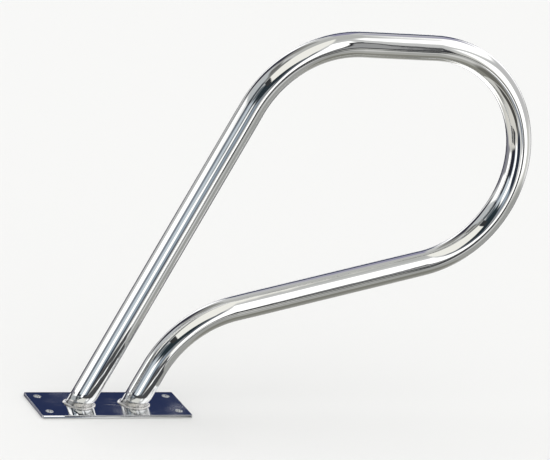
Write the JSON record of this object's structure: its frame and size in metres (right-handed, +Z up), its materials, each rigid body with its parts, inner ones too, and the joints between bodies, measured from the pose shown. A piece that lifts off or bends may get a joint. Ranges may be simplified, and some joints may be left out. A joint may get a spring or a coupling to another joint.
{
  "type": "pool handrail",
  "caption": "Bent round tube in a forward-leaning loop, both legs welded to a flat deck plate with bolt holes; gives a hand hold beside pool steps.",
  "frame": {"origin": "centre of the four bolt holes, on the underside of the base plate, where it meets the deck", "axes": "+Z up from the deck, +X the way that the loop reaches out, +Y across the plate; the tube's centreline lies in the plane Y = 0"},
  "size_m": [0.7394, 0.09, 0.59],
  "materials": {
    "polished_tube": "polished",
    "polished_plate": "polished",
    "weld_bead": "satin"
  },
  "bodies": {
    "root": {"rail_tube": "polished_tube", "base_plate": "polished_plate", "long_leg_weld": "weld_bead", "short_leg_weld": "weld_bead"}
  },
  "joints": []
}
